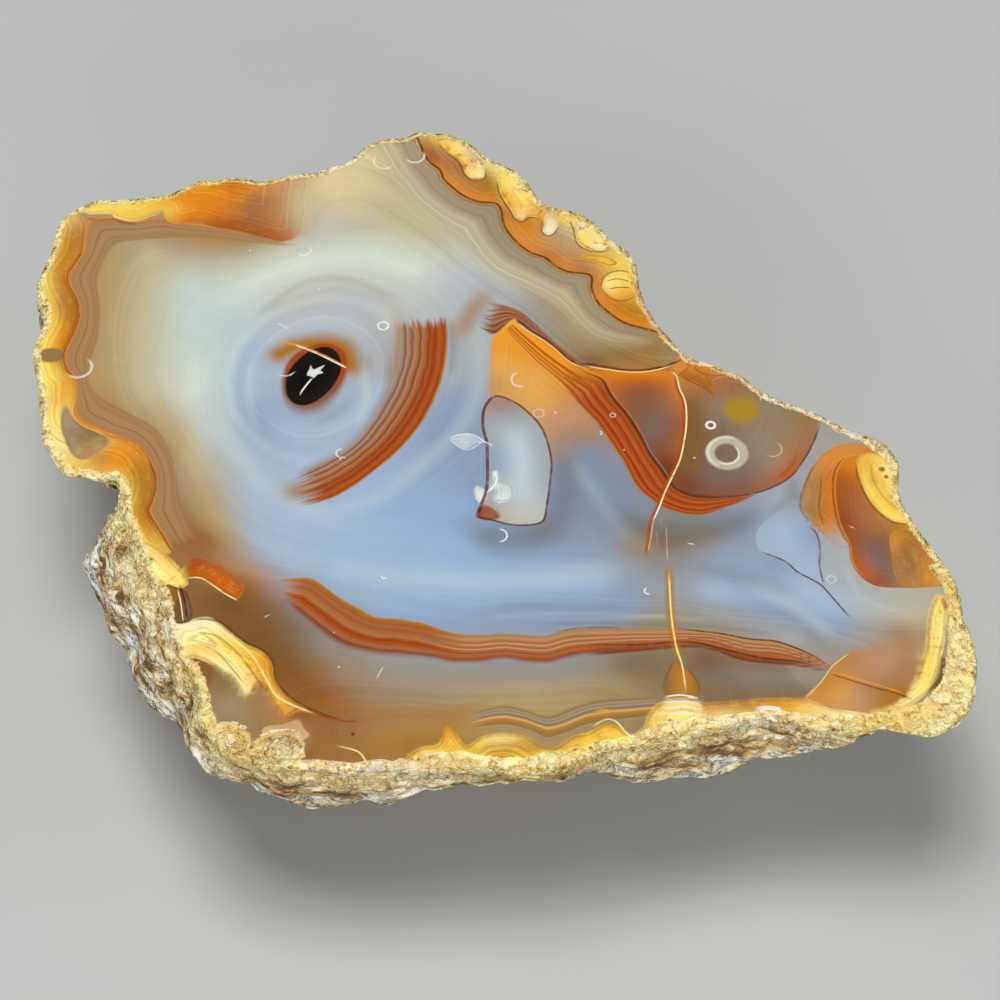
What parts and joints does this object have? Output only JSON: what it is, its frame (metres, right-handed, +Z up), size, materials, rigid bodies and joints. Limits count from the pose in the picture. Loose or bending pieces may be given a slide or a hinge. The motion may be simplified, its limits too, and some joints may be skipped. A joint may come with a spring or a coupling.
{
  "type": "polished agate half",
  "caption": "Display piece of banded agate: one end of a nodule, sawn flat and polished on the cut, with a rough natural skin, resting level on its underside.",
  "frame": {"origin": "middle of the small natural flat on the underside that the stone rests on, below the middle of the polished face", "axes": "+Z up, square to the polished face; +X along the polished face's longest side, to the right in the picture; +Y away from the viewer"},
  "size_m": [0.1093, 0.0981, 0.0265],
  "materials": {
    "agate_stone": "banded chalcedony, polished to a gloss on the cut and rough, matt and tan on the skin"
  },
  "bodies": {
    "root": {"agate": "agate_stone"}
  },
  "joints": []
}
